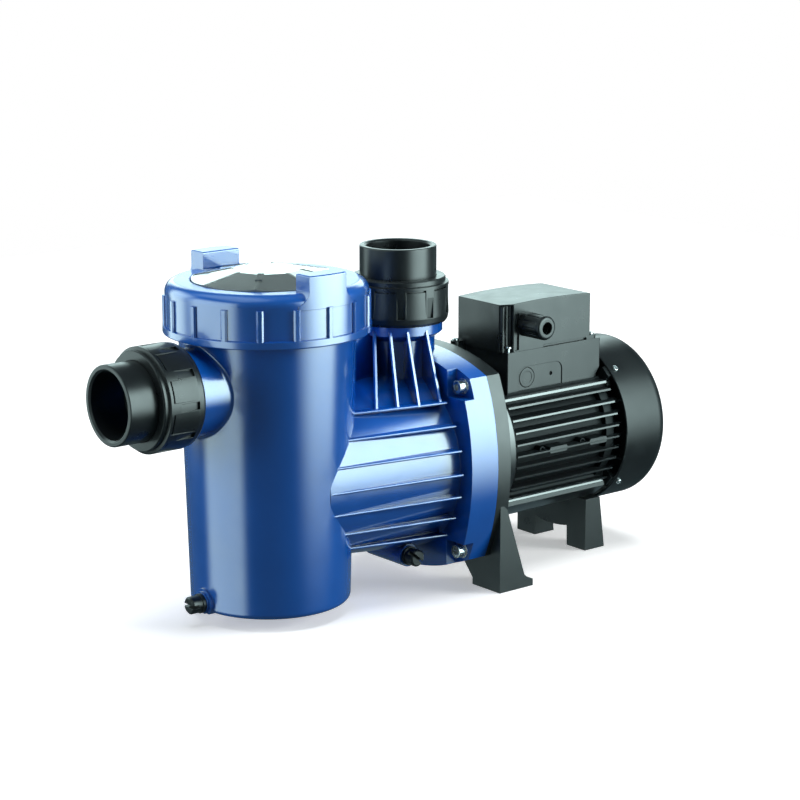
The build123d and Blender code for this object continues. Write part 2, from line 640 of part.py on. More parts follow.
def flange_washers():
    x = FLANGE_FRONT + NOTCH_DEPTH
    return Compound([rod_x(8, x - 1.6, x, y, z) - rod_x(4.2, x - 3, x + 1, y, z)
                     for y, z in flange_corners()])


def adapter_screws():
    screw = socket_screw(5, 6, 3, 24, 2.6)
    return Compound([Pos(FLANGE_REAR + 8, y, z) * screw for y, z in shield_screws()])


# ---------------------------------------------------------------- motor
def tie_places():
    return [(sy * 50.5, SHAFT_Z + sz * 47.3) for sy in (-1, 1) for sz in (-1, 1)]


def shaft():
    steps = [(-19.5, -10, 5 - RUNNING), (-10, 14, SHAFT_NOSE_R), (14, 80, SHAFT_SEAL_R), (80, 98, FRONT_BORE),
             (98, STACK_FRONT, 12.5), (STACK_FRONT, STACK_REAR, 14), (STACK_REAR, REAR_BEARING[0], 11),
             (REAR_BEARING[0], REAR_BEARING[1], REAR_BORE), (REAR_BEARING[1], SHAFT_TAIL, FAN_BORE)]
    bars = [rod_x(r, x0, x1) for x0, x1, r in steps]
    return bars[0] + bars[1:]


def rotor_core():
    core = rod_x(ROTOR_R, STACK_FRONT, STACK_REAR) - rod_x(14, STACK_FRONT - 1, STACK_REAR + 1)
    front = rod_x(ROTOR_R - 1, STACK_FRONT - 8, STACK_FRONT) - rod_x(24, STACK_FRONT - 9, STACK_FRONT + 1)
    rear = rod_x(ROTOR_R - 1, STACK_REAR, STACK_REAR + 8) - rod_x(24, STACK_REAR - 1, STACK_REAR + 9)
    return core + front + rear


def stator_core():
    core = rod_x(STATOR_R, STACK_FRONT, STACK_REAR) - rod_x(ROTOR_R + AIR_GAP, STACK_FRONT - 1, STACK_REAR + 1)
    slots = []
    for i in range(24):
        slots.append(Pos(0, 0, SHAFT_Z) * Rot(15 * i, 0, 0) * block(STACK_FRONT - 1, STACK_REAR + 1, -1.6, 1.6,
                                                                    ROTOR_R - 2, 54))
    return core - slots


def stator_winding():
    """End turns at both faces of the stator stack, joined by the coil sides in its slots."""
    front = spin_x([(STACK_FRONT - 17, 43), (STACK_FRONT - 17, 55), (STACK_FRONT - 13, 58), (STACK_FRONT, 58),
                    (STACK_FRONT, 41), (STACK_FRONT - 13, 41)])
    rear = spin_x([(STACK_REAR + 17, 43), (STACK_REAR + 17, 55), (STACK_REAR + 13, 58), (STACK_REAR, 58),
                   (STACK_REAR, 41), (STACK_REAR + 13, 41)])
    sides = [Pos(0, 0, SHAFT_Z) * Rot(15 * i, 0, 0) * block(STACK_FRONT - 2, STACK_REAR + 2, -1.5, 1.5, 42, 53.8)
             for i in range(24)]
    return front + rear + sides


def motor_frame():
    """Finned frame: a tube with horizontal fins each side, two ledges a side and a smooth sole."""
    tube = rod_x(CORE_R, FRAME_FRONT, FRAME_REAR)
    band = rod_x(FIN_R - 1, FRAME_FRONT, FIN_FRONT - 5)
    band = fillet(band.edges().sort_by(Axis.X)[-1], 3)
    envelope = rod_x(FIN_R, FIN_FRONT - 8, FIN_REAR)
    fins = []
    for i in range(9):
        z = SHAFT_Z + 45.3 - 11.75 * i
        slab = block(FIN_FRONT - 6, FIN_REAR, -FIN_R, FIN_R, z - FIN_THICK / 2, z + FIN_THICK / 2)
        fins.append(envelope & slab)
        if 0 < i < 8:
            # under the fan cover the fin goes on, a little lower
            tail = block(FIN_REAR - 1, FRAME_REAR + 8, -FIN_R, FIN_R, z - FIN_THICK / 2, z + FIN_THICK / 2)
            fins.append(tail & (rod_x(74.5, FIN_REAR - 1, 270) - rod_x(67, FRAME_REAR, 271)))
    ledges = []
    for z0, z1 in ((SHAFT_Z + 50.4, BASE_BOTTOM - 2.2), (SHAFT_Z - 53.5, SHAFT_Z - 49.8)):
        ledge = block(FIN_FRONT - 8, FIN_REAR, -LEDGE_HALF, LEDGE_HALF, z0, z1)
        ledges.append(fillet(ledge.edges().filter_by(Axis.X), 1.5))
    sole = rod_x(SOLE_R, FIN_FRONT - 8, FIN_REAR) - rod_x(SOLE_R - 5, 0, 300)
    sole = sole & block(0, 300, -LEDGE_HALF, LEDGE_HALF, 0, SHAFT_Z - 50.5)
    sole_inside = rod_x(SOLE_R - 1, FIN_FRONT - 8, FIN_REAR)
    keels = [sole_inside & block(FIN_FRONT - 8, FIN_REAR, y - 1.5, y + 1.5, 0, SHAFT_Z - 40) for y in (-38, 0, 38)]
    shelf = block(BASE_FRONT, FIN_REAR, BOX_NEAR, BOX_FAR, SHAFT_Z + 50, BASE_BOTTOM)
    under_box = block(BASE_FRONT - 0.5, BASE_REAR + 2, BOX_NEAR - 0.5, BOX_FAR + 0.5, BASE_BOTTOM, 220)
    rear_band = rod_x(72.5, FIN_REAR - 11, FIN_REAR - 1) - under_box
    corner_tubes = [rod_x(5, FRAME_FRONT, FRAME_REAR, y, z) for y, z in tie_places()]
    pads = [side_pad(x) for x in (146, 201)]
    foot_pads = [rod_z(7, 45.3, 60, 242, y) for y in (-16, 16)]
    frame = tube + band + fins + ledges + sole + keels + shelf + rear_band + corner_tubes + pads + foot_pads
    cuts = [rod_x(STATOR_R, FRAME_FRONT - 1, FRAME_REAR + 1), rod_z(8, SHAFT_Z + 50, 200, 186, -14)]
    for y, z in tie_places():
        cuts.append(rod_x(TIE_R + 0.2, FRAME_FRONT - 1, FRAME_REAR + 1, y, z))
    for y in (-16, 16):
        cuts.append(rod_z(2.1, 40, 58, 242, y))
    return frame - cuts


def side_pad(x):
    """A tapped boss and a bar behind it on the middle fin of the near side."""
    z = SHAFT_Z + 45.3 - 11.75 * 4
    bar = block(x + 6, x + 30, 0.5 - FIN_R, -62, z - 3.2, z + 3.2)
    bar = fillet(bar.edges().filter_by(Axis.Y), 2.4)
    return bar + rod_y(3.6, 5 - FIN_R, -62, x, z + 1) - rod_y(2.4, -FIN_R, -66, x, z + 1)


def front_shield():
    outline = [(BRACKET_REAR, 12), (BRACKET_REAR, 76), (75, 77.5), (FRAME_FRONT, 77.5), (FRAME_FRONT, STATOR_R - 0.1),
               (FRAME_FRONT + 4, STATOR_R - 0.1), (FRAME_FRONT + 4, 57), (88, 54), (82, 40), (82, 29),
               (98, 29), (98, FRONT_OUTER), (FRONT_BEARING[0], FRONT_OUTER), (FRONT_BEARING[0], 12)]
    shield = spin_x(outline)
    cuts = []
    for y, z in shield_screws():
        cuts.append(rod_x(3.05, BRACKET_REAR - 1, BRACKET_REAR + 19, y, z))
    for y, z in tie_places():
        cuts.append(rod_x(TIE_R + 0.05, FRAME_FRONT - 12, FRAME_FRONT + 1, y, z))
    return shield - cuts


def rear_shield():
    outline = [(FRAME_REAR, 10), (FRAME_REAR, REAR_OUTER), (REAR_BEARING[0], REAR_OUTER), (REAR_BEARING[0], 26),
               (FRAME_REAR - 2, 27), (FRAME_REAR - 2, 52), (FRAME_REAR - 4, 57), (FRAME_REAR - 4, STATOR_R - 0.1),
               (FRAME_REAR, STATOR_R - 0.1), (FRAME_REAR, 66), (FRAME_REAR + 5, 66), (FRAME_REAR + 5, 10)]
    shield = spin_x(outline)
    ears = [rod_x(8, FRAME_REAR, FRAME_REAR + 5, y, z) for y, z in tie_places()]
    arms = []
    for angle in cover_screw_angles():
        arm = block(FRAME_REAR, 268, -6, 6, 62, COVER_R - COVER_WALL)
        arm = arm - block(FRAME_REAR + 5, 269, -7, 7, 61, 77.6)
        arm = arm & (rod_x(COVER_R - COVER_WALL - 0.1, FRAME_REAR, 269, 0, 0))
        arms.append(Pos(0, 0, SHAFT_Z) * Rot(angle, 0, 0) * arm)
    cuts = [rod_x(TIE_R + 0.2, FRAME_REAR - 1, FRAME_REAR + 6, y, z) for y, z in tie_places()]
    for angle in cover_screw_angles():
        hole = rod_z(1.6, 70, 90, 262.5, 0)
        cuts.append(Pos(0, 0, SHAFT_Z) * Rot(angle, 0, 0) * hole)
    return shield + ears + arms - cuts


def cover_screw_angles():
    """Turns about the shaft from straight up, positive towards -Y."""
    return (42, 130, -42, -130)


def tie_rods():
    rods = []
    for y, z in tie_places():
        rod = rod_x(TIE_R, FRAME_FRONT - 10, FRAME_REAR + 5, y, z)
        head = Pos(FRAME_REAR + 5, y, z) * Rot(0, 90, 0) * extrude(RegularPolygon(4.6, 6), 4)
        rods.append(rod + head)
    return Compound(rods)


def fan():
    hub = rod_x(14, 258.5, 283) - rod_x(FAN_BORE + 0.01, 257, 290)
    disc = rod_x(FAN_R, 270, 272.5) - rod_x(12, 269, 274)
    blade = block(260, 282, 13, FAN_R, -1.1, 1.1)
    blade = chamfer(blade.edges().filter_by(Axis.Z).sort_by(Axis.Y)[-2:], 6)
    blades = [Pos(0, 0, SHAFT_Z) * Rot(360 * i / 7, 0, 0) * blade for i in range(7)]
    return hub + disc + blades


def fan_cover():
    outside = fillet(rod_x(COVER_R, COVER_FRONT, HALF_LENGTH).edges().sort_by(Axis.X)[-1], COVER_ROUND)
    inside = rod_x(COVER_R - COVER_WALL, COVER_FRONT - 1, HALF_LENGTH - COVER_WALL)
    inside = fillet(inside.edges().sort_by(Axis.X)[-1], COVER_ROUND - COVER_WALL)
    cover = outside - inside
    spokes = [Pos(0, 0, SHAFT_Z) * Rot(60 * i, 0, 0) * block(300, 320, -2.5, 2.5, 0, 90) for i in range(6)]
    slots = []
    for i in range(6):
        r = 16 + 9.5 * i
        slots.append(rod_x(r + 5, HALF_LENGTH - 5, HALF_LENGTH + 1) - rod_x(r, HALF_LENGTH - 6, HALF_LENGTH + 2)
                     - spokes)
    holes = []
    for angle in cover_screw_angles():
        holes.append(Pos(0, 0, SHAFT_Z) * Rot(angle, 0, 0) * rod_z(1.7, 75, 90, 262.5, 0))
    cover = cover - slots - holes
    rims = cover.edges().filter_by(GeomType.CIRCLE).group_by(Axis.X)[0].sort_by(SortBy.RADIUS)
    return fillet(rims[-1], 1.2)


def fan_cover_screws():
    screw = Rot(0, 90, 0) * pan_screw(3.4, 1.9, 1.55, 8)
    return Compound([Pos(0, 0, SHAFT_Z) * Rot(angle, 0, 0) * Pos(262.5, 0, COVER_R + 0.05) * screw
                     for angle in cover_screw_angles()])


def pan_screw(head_r, head_h, shank_r, shank_l):
    """A cross-recessed pan-head screw along +X: its head ends and its shank starts at x = 0."""
    head = fillet(rod_x(head_r, -head_h, 0, 0, 0).edges().sort_by(Axis.X)[0], head_h * 0.55)
    cross = block(-head_h - 1, -head_h * 0.45, -head_r * 0.55, head_r * 0.55, -0.45, 0.45)
    cross = cross + Rot(90, 0, 0) * cross
    return head + rod_x(shank_r, -0.01, shank_l, 0, 0) - cross


def rear_foot():
    """Moulded foot under the rear of the motor: two legs joined by a saddle."""
    front = REAR_FOOT_FRONT
    side = [(front, 0), (REAR_FOOT_BACK, 0), (248.6, 54.8), (front, 54.8)]
    saddle = prism_y(side, -52.5, 52.5)
    saddle = saddle - rod_x(SOLE_R, front - 1, REAR_FOOT_BACK + 1)
    gap = prism_x([(-24.6, -1), (24.6, -1), (23.6, 40), (-23.6, 40)], front - 1, REAR_FOOT_BACK + 1)
    gap = gap - rod_x(108, front - 2, REAR_FOOT_BACK + 2)
    foot = saddle - gap
    cuts = []
    for y in (-16, 16):
        cuts.append(rod_z(2.6, 0, 60, 242, y))
        cuts.append(rod_z(5, 0, 30, 242, y))
        cuts.append(rod_z(7.2, 45.3, 60, 242, y))
    return foot - cuts


def foot_screws():
    screw = Rot(0, -90, 0) * socket_screw(4.5, 5, 2.05, 22, 2.3)
    return Compound([Pos(242, y, 29.95) * screw for y in (-16, 16)])


# ---------------------------------------------------------------- terminal box
BOX_LUGS = ((125.6, -45.0), (239.5, -43.5), (111.5, 19.0), (239.5, 19.0))


def terminal_base():
    body = block(BASE_FRONT, BASE_REAR, BOX_NEAR, BOX_FAR, BASE_BOTTOM - 12, BASE_TOP)
    body = fillet(body.edges().filter_by(Axis.Z), 1.5)
    lugs = [rod_z(5.2, BASE_TOP - 7, BASE_TOP, *BOX_LUGS[2]),
            block(111.5, 126, 13.8, 24.2, BASE_TOP - 7, BASE_TOP)]
    body = body + lugs
    # the motor's shelf and tube pass under the box
    under = block(BASE_FRONT - 1, BASE_REAR + 1, BOX_NEAR - 1, BOX_FAR + 1, 150, BASE_BOTTOM)
    cuts = [under, rod_x(CORE_R, 100, 260)]
    cuts.append(block(126, 229, BOX_NEAR + 4, BOX_FAR - 4, 197, BASE_TOP + 1))
    cuts.append(rod_z(7.5, 180, 200, 186, -14))
    panel = block(136.5, 196, BOX_NEAR - 1, BOX_NEAR + 0.9, BASE_BOTTOM - 1, 206.5)
    cuts.append(fillet(panel.edges().filter_by(Axis.Y).group_by(Axis.Z)[-1], 9))
    cuts.append(rod_y(10.3, BOX_NEAR - 1, BOX_NEAR + 2.6, KNOCKOUT_X, KNOCKOUT_Z))
    cuts.append(rod_y(2, BOX_NEAR - 1, BOX_NEAR + 3, 181.3, KNOCKOUT_Z))
    cuts.append(gasket_ring(0.05, 1.5))
    corner = prism_y([(BASE_REAR - 9, BASE_BOTTOM - 1), (BASE_REAR + 1, BASE_BOTTOM - 1), (BASE_REAR + 1, 194),
                      (BASE_REAR, 194)], BOX_NEAR - 1, BOX_NEAR + 5)
    cuts.append(corner)
    for x, y in BOX_LUGS:
        cuts.append(rod_z(1.6, BASE_TOP - 12, BASE_TOP + 1, x, y))
    return body - cuts


def gasket_ring(grow, depth):
    """A square ring in the top of the base's wall, grown by a clearance each way."""
    x0, x1 = 130.5, 231.0
    y0, y1 = BOX_NEAR + 1.2, BOX_FAR - 1.2
    outer = block(123.4 - grow, x1 + grow, y0 - grow, y1 + grow, BASE_TOP - depth, BASE_TOP + 1)
    corner = prism_z([(122, -36), (122, -50), (x0, -50), (x0, -48.5 + 1.2)], BASE_TOP - 5, BASE_TOP + 2)
    inner = block(125 + grow, x1 - 1.6 - grow, y0 + 1.6 + grow, y1 - 1.6 - grow, BASE_TOP - 5, BASE_TOP + 2)
    return outer - inner - corner


def terminal_gasket():
    return gasket_ring(0, 1.45) - block(100, 260, -80, 80, BASE_TOP, BASE_TOP + 2)


def cover_corner(t):
    """The point at share t of the way along the cover's cut corner."""
    return [CORNER_FRONT[i] + t * (CORNER_NEAR[i] - CORNER_FRONT[i]) for i in range(2)]


def terminal_cover():
    middle = (LID_BOX_FRONT + LID_BOX_REAR) / 2
    wall = 3.0

    def crowned(inset, bottom, corner):
        x0 = LID_BOX_FRONT + inset
        x1 = LID_BOX_REAR - inset
        top = LID_BOX_TOP - inset
        outline = [Line((x0, 0, bottom), (x1, 0, bottom)), Line((x1, 0, bottom), (x1, 0, top - 2)),
                   ThreePointArc((x1, 0, top - 2), (middle, 0, top), (x0, 0, top - 2)),
                   Line((x0, 0, top - 2), (x0, 0, bottom))]
        y0 = BOX_NEAR + inset
        solid = Pos(0, y0, 0) * extrude(make_face(outline), BOX_FAR - inset - y0, (0, 1, 0))
        reach = inset * 2.4
        edge = [(CORNER_FRONT[0] + inset, CORNER_FRONT[1] + reach), (CORNER_NEAR[0] + reach, y0),
                (CORNER_NEAR[0] + reach, y0 - 20), (x0 - 20, y0 - 20), (x0 - 20, CORNER_FRONT[1] + reach)]
        solid = solid - prism_z(edge, bottom - 1, top + 1)
        return fillet(solid.edges().filter_by(Axis.Z).group_by(Axis.Y)[-1], corner)

    shell = crowned(0, COVER_BOTTOM, 3)
    shell = fillet(shell.edges().group_by(Axis.Z)[-1] + shell.edges().group_by(Axis.Z)[-2], 0.8)
    lugs = []
    for x, y in BOX_LUGS[1:]:
        inward = 1 if x < middle else -1
        reach = sorted((x, x + inward * 12))
        lugs.append(rod_z(5.2, COVER_BOTTOM, COVER_BOTTOM + 4, x, y))
        lugs.append(block(reach[0], reach[1], y - 5.2, min(y + 5.2, BOX_FAR), COVER_BOTTOM, COVER_BOTTOM + 4))
    cavity = crowned(wall, COVER_BOTTOM - 1, 1)
    bead = rod_z(1.9, COVER_BOTTOM, LID_BOX_TOP - 4, *cover_corner(0.24))
    shell = shell + lugs + bead - cavity
    cuts = [rod_y(8.1, BOX_NEAR - 1, BOX_NEAR + wall + 1, GLAND_X, GLAND_Z),
            rod_z(3.9, COVER_BOTTOM + 4, LID_BOX_TOP - 3.2, *BOX_LUGS[0]),
            block(131.4, 136.6, BOX_NEAR - 1, BOX_NEAR + 1.7, COVER_BOTTOM + 1.5, 262),
            block(170, 229, BOX_NEAR - 1, BOX_NEAR + 2.2, COVER_BOTTOM - 1, COVER_BOTTOM + 2.6)]
    for x, y in BOX_LUGS:
        cuts.append(rod_z(1.8, COVER_BOTTOM - 1, COVER_BOTTOM + 5, x, y))
        cuts.append(rod_z(3.4, COVER_BOTTOM + 4, COVER_BOTTOM + 9, x, y))
    return shell - cuts


def terminal_cover_screws():
    screw = Rot(0, 90, 0) * pan_screw(3.2, 2.2, 1.5, 13)
    return Compound([Pos(x, y, COVER_BOTTOM + 4.05) * screw for x, y in BOX_LUGS])


def terminal_board():
    board = block(132, 176, -38, 6, 200, 206)
    board = fillet(board.edges().filter_by(Axis.Z), 2)
    legs = [rod_z(3, 197, 200.5, x, y) for x in (136, 172) for y in (-34, 2)]
    bores = [rod_z(2, 199, 207, x, y) for x, y in stud_places()]
    return board + legs - bores


def stud_places():
    return [(x, y) for x in (142, 154, 166) for y in (-26, -6)]


def terminal_studs():
    studs = []
    for x, y in stud_places():
        stud = rod_z(2, 201, 216, x, y)
        nut = Pos(x, y, 207) * extrude(RegularPolygon(4, 6), 3)
        studs.append(stud + nut)
    return Compound(studs)


def capacitor():
    can = rod_x(17, 160, 227, -12, 236)
    can = fillet(can.edges().sort_by(Axis.X)[-1], 2)
    tags = [block(153, 161, -12 + dy - 3, -12 + dy + 3, 235.6, 236.4) for dy in (-7, 7)]
    return can + tags


def earth_screw():
    return Pos(215, -30, 197 + 3.05) * Rot(0, 90, 0) * pan_screw(4, 2.4, 2, 3)


def knockout_plug():
    plug = rod_y(9.9, BOX_NEAR + 0.6, BOX_NEAR + 2.6, KNOCKOUT_X, KNOCKOUT_Z)
    plug = fillet(plug.edges().sort_by(Axis.Y)[0], 0.6)
    return plug - rod_y(6.6, BOX_NEAR, BOX_NEAR + 1.0, KNOCKOUT_X, KNOCKOUT_Z)


def gland_body():
    """Hexagon against the cover, a thread through its wall and a thread for the dome nut."""
    y = BOX_NEAR
    hexagon = Pos(GLAND_X, y - 6, GLAND_Z) * Rot(-90, 0, 0) * extrude(RegularPolygon(13.2, 6), 6)
    hexagon = hexagon & rod_y(12.6, y - 6, y, GLAND_X, GLAND_Z)
    neck = rod_y(9.5, y - 17, y - 6, GLAND_X, GLAND_Z)
    inner = rod_y(8, y, y + 9, GLAND_X, GLAND_Z)
    return hexagon + neck + inner - rod_y(6.3, y - 18, y + 10, GLAND_X, GLAND_Z)


def gland_seal():
    y = BOX_NEAR - 17.1
    return rod_y(8.6, y - 8, y, GLAND_X, GLAND_Z) - rod_y(6.3, y - 9, y + 1, GLAND_X, GLAND_Z)


def gland_nut():
    back = BOX_NEAR - 6.4
    tip = BOX_NEAR - GLAND_OUT
    outer = rod_y(12.3, tip, back, GLAND_X, GLAND_Z)
    outer = fillet(outer.edges().sort_by(Axis.Y)[0], 3.6)
    flutes = []
    for i in range(12):
        angle = 2 * pi * i / 12
        flutes.append(rod_y(1.5, tip + 6, back + 1, GLAND_X + 13.1 * cos(angle), GLAND_Z + 13.1 * sin(angle)))
    bore = rod_y(9.5 + RUNNING, BOX_NEAR - 25.6, back + 1, GLAND_X, GLAND_Z)
    return outer - flutes - bore - rod_y(6.3, tip - 1, back, GLAND_X, GLAND_Z)


def gland_locknut():
    y = BOX_NEAR + 3.05
    nut = Pos(GLAND_X, y, GLAND_Z) * Rot(-90, 0, 0) * extrude(RegularPolygon(10.0, 6), 4)
    return nut - rod_y(8.05, y - 1, y + 5, GLAND_X, GLAND_Z)


# ---------------------------------------------------------------- build and export
def build():
    pot_section, casing_section = pump_body()
    seal_head, seal_seat, seal_spring = seal_parts()
    front_inner, front_outer, front_balls = bearing(FRONT_BORE, FRONT_OUTER, *FRONT_BEARING, 8, 3.9)
    rear_inner, rear_outer, rear_balls = bearing(REAR_BORE, REAR_OUTER, *REAR_BEARING, 8, 3.3)
    return {
        "strainer_pot": pot_section,
        "pump_casing": casing_section,
        "pot_drain_plug": on_pot_drain(drain_plug()),
        "pot_drain_oring": on_pot_drain(drain_oring()),
        "casing_drain_plug": on_casing_drain(drain_plug()),
        "casing_drain_oring": on_casing_drain(drain_oring()),
        "suction_tailpiece": on_suction(union_tailpiece()),
        "suction_nut": on_suction(union_nut()),
        "suction_oring": on_suction(union_oring()),
        "discharge_tailpiece": on_discharge(union_tailpiece()),
        "discharge_nut": on_discharge(union_nut()),
        "discharge_oring": on_discharge(union_oring()),
        "lid_ring": lid_ring(),
        "lid": lid(),
        "lid_oring": lid_oring(),
        "strainer_basket": strainer_basket(),
        "diffuser": diffuser(),
        "wear_ring": wear_ring(),
        "impeller": impeller(),
        "impeller_nut": impeller_nut(),
        "seal_head": seal_head,
        "seal_seat": seal_seat,
        "seal_spring": seal_spring,
        "seal_plate": seal_plate(),
        "casing_oring": casing_oring(),
        "motor_bracket": motor_bracket(),
        "flange_bolts": flange_bolts(),
        "flange_washers": flange_washers(),
        "adapter_screws": adapter_screws(),
        "front_shield": front_shield(),
        "motor_frame": motor_frame(),
        "rear_shield": rear_shield(),
        "tie_rods": tie_rods(),
        "shaft": shaft(),
        "rotor_core": rotor_core(),
        "stator_core": stator_core(),
        "stator_winding": stator_winding(),
        "front_bearing_inner": front_inner,
        "front_bearing_outer": front_outer,
        "rear_bearing_inner": rear_inner,
        "rear_bearing_outer": rear_outer,
        "bearing_balls": Compound(front_balls + rear_balls),
        "fan": fan(),
        "fan_cover": fan_cover(),
        "fan_cover_screws": fan_cover_screws(),
        "rear_foot": rear_foot(),
        "foot_screws": foot_screws(),
        "terminal_base": terminal_base(),
        "terminal_gasket": terminal_gasket(),
        "terminal_cover": terminal_cover(),
        "terminal_cover_screws": terminal_cover_screws(),
        "terminal_board": terminal_board(),
        "terminal_studs": terminal_studs(),
        "capacitor": capacitor(),
        "earth_screw": earth_screw(),
        "knockout_plug": knockout_plug(),
        "gland_body": gland_body(),
        "gland_seal": gland_seal(),
        "gland_nut": gland_nut(),
        "gland_locknut": gland_locknut(),
    }


os.makedirs("parts", exist_ok=True)
for name, shape in build().items():
    export_step(shape, f"parts/{name}.step")
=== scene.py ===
import json
from math import cos, pi, radians, sin, tan

import bmesh
import bpy
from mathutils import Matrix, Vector


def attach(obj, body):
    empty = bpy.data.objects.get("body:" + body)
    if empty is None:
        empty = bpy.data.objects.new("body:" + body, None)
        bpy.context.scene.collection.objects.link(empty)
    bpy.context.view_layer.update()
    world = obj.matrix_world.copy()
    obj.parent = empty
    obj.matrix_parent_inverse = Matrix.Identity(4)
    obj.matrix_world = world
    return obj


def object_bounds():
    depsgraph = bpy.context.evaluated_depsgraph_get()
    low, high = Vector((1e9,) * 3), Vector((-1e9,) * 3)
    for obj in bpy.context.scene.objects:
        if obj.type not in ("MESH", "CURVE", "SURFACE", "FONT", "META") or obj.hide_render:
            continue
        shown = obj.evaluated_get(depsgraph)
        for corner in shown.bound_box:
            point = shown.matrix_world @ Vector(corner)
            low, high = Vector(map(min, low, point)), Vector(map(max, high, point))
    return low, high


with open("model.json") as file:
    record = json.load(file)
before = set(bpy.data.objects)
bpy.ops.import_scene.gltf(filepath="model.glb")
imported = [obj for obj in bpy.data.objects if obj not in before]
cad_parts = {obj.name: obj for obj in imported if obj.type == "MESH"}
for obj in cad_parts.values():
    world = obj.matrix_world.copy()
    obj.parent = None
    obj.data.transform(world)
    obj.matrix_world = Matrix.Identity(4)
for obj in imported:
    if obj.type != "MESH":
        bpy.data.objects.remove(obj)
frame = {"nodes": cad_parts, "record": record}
cad_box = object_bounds()

nodes = frame["nodes"]
slot_of = {part["node"]: part["material_slot"] for part in frame["record"]["subparts"]}
low, high = (Vector(corner) for corner in cad_box)
centre = (low + high) / 2
SHAFT_Z = 0.1266  # height of the motor's shaft; all lengths are in metres


# ---------------------------------------------------------------- camera
CAMERA_PLACE = (-1.4270, -1.7752, 0.7173)
CAMERA_TARGET = (0.0234, 0.0, 0.1817)
CAMERA_LENS = 107.45  # in millimetres, like the width of the sensor
SENSOR_WIDTH = 36.0
CLIP_END = 50


def add_camera():
    """The camera looks at the pump's near side and its suction end, a little from above."""
    data = bpy.data.cameras.new("camera")
    data.sensor_width = SENSOR_WIDTH
    data.lens = CAMERA_LENS
    data.clip_end = CLIP_END
    camera = bpy.data.objects.new("camera", data)
    camera.location = CAMERA_PLACE
    aim = Vector(CAMERA_TARGET) - camera.location
    camera.rotation_euler = aim.to_track_quat("-Z", "Y").to_euler()
    bpy.context.collection.objects.link(camera)
    bpy.context.scene.camera = camera


add_camera()


# ---------------------------------------------------------------- node material helpers
EDGE_ROUND = 0.0006  # radius that the shading gives to sharp edges
SEAM_X = -0.0475  # plane where the pot meets the casing
SHADER_SAMPLES = 4  # for the bevel and the occlusion nodes
NOISE_RANGE = (0.3, 0.7)  # most of a noise lies between these
MOTTLE_SCALE = 18
MOTTLE_DETAIL = 4
GLOSS_SCALE = 55
GRAIN_DETAIL = 4
GRAIN_ROUGHNESS = 0.6
GRAIN_STRENGTH = 0.35


def add_node(tree, kind, inputs=None, **settings):
    """Adds a node. Each input is a value, or the output socket that it is linked to."""
    made = tree.nodes.new(kind)
    for key, value in settings.items():
        setattr(made, key, value)
    for key, value in (inputs or {}).items():
        if isinstance(value, bpy.types.NodeSocket):
            tree.links.new(value, made.inputs[key])
        else:
            made.inputs[key].default_value = value
    return made


class Recipe:
    """A node material being put together around one Principled shader."""

    def __init__(self, name, **values):
        self.material = bpy.data.materials.new(name)
        self.material.use_nodes = True
        self.tree = self.material.node_tree
        self.shader = self.tree.nodes["Principled BSDF"]
        self.place = self.node("ShaderNodeTexCoord").outputs["Object"]
        for key, value in values.items():
            self.shader.inputs[key.replace("_", " ")].default_value = value

    def node(self, kind, inputs=None, **settings):
        return add_node(self.tree, kind, inputs, **settings)

    def link(self, output, socket):
        self.tree.links.new(output, self.shader.inputs[socket])

    def noise(self, scale, detail=3.0, roughness=0.5, place=None):
        inputs = {"Vector": place or self.place, "Scale": scale, "Detail": detail,
                  "Roughness": roughness}
        return self.node("ShaderNodeTexNoise", inputs).outputs["Fac"]

    def stretched(self, stretch):
        """Object coordinates scaled along each axis, for grain with a direction."""
        inputs = {"Vector": self.place, "Scale": stretch}
        return self.node("ShaderNodeMapping", inputs).outputs["Vector"]

    def axis(self, vector, letter):
        return self.node("ShaderNodeSeparateXYZ", {"Vector": vector}).outputs[letter]

    def math(self, operation, *values):
        inputs = dict(enumerate(values))
        return self.node("ShaderNodeMath", inputs, operation=operation).outputs["Value"]

    def spread(self, value, source, result=(0, 1)):
        """A value taken from one range to another, and held at the ends."""
        inputs = {"Value": value, "From Min": source[0], "From Max": source[1],
                  "To Min": result[0], "To Max": result[1]}
        return self.node("ShaderNodeMapRange", inputs).outputs["Result"]

    def blend(self, noise, dark, light):
        """A colour that follows a noise from dark to light."""
        made = self.node("ShaderNodeValToRGB", {"Fac": noise})
        for element, position, colour in zip(made.color_ramp.elements, NOISE_RANGE, (dark, light)):
            element.position = position
            element.color = (*colour, 1)
        return made.outputs["Color"]

    def mottle(self, dark, light):
        return self.blend(self.noise(MOTTLE_SCALE, MOTTLE_DETAIL), dark, light)

    def roughen(self, noise, rough):
        """Roughness that follows a noise over the range rough."""
        self.link(self.spread(noise, NOISE_RANGE, rough), "Roughness")

    def bump(self, height, strength, distance):
        """Surface grain, over edges that are very slightly rounded. The plane where the pot meets
        the casing keeps its own normal, so that the moulding shows no seam."""
        bevel = self.node("ShaderNodeBevel", {"Radius": EDGE_ROUND}, samples=SHADER_SAMPLES)
        plain = self.node("ShaderNodeNewGeometry")
        seam = self.math("COMPARE", self.axis(self.place, "X"), SEAM_X, 2 * EDGE_ROUND)
        inputs = {"Factor": seam, 4: bevel.outputs["Normal"], 5: plain.outputs["Normal"]}
        normal = self.node("ShaderNodeMix", inputs, data_type="VECTOR").outputs[1]
        inputs = {"Height": height, "Strength": strength, "Distance": distance, "Normal": normal}
        self.link(self.node("ShaderNodeBump", inputs).outputs["Normal"], "Normal")

    def grain(self, scale, depth):
        self.bump(self.noise(scale, GRAIN_DETAIL, GRAIN_ROUGHNESS), GRAIN_STRENGTH, depth)


